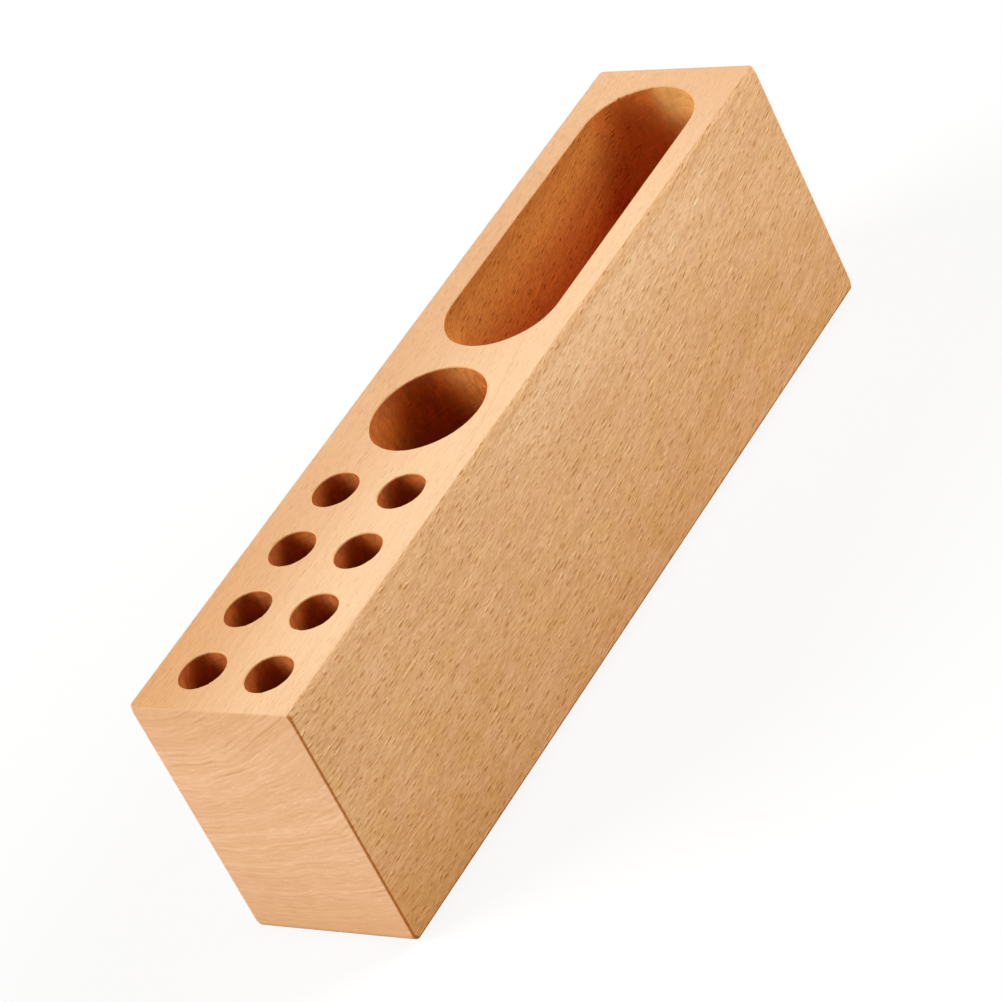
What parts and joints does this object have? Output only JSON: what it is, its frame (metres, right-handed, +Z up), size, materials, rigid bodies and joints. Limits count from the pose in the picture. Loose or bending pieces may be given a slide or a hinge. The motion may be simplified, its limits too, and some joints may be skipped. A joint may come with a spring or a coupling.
{
  "type": "pen holder",
  "caption": "Long desk block of solid beech with rows of pen holes, a wide round hole and a long round-ended slot, on rubber foot pads.",
  "frame": {"origin": "on the desk, under the middle of the block", "axes": "+X along the block from the pen holes to the slot, +Y across it, +Z up out of the openings"},
  "size_m": [0.248, 0.05, 0.0765],
  "materials": {
    "beech": "sanded beech with a thin matt oil finish",
    "pad_rubber": "matt moulded rubber"
  },
  "bodies": {
    "root": {"block": "beech", "foot_pad_1": "pad_rubber", "foot_pad_2": "pad_rubber", "foot_pad_3": "pad_rubber", "foot_pad_4": "pad_rubber"}
  },
  "joints": []
}
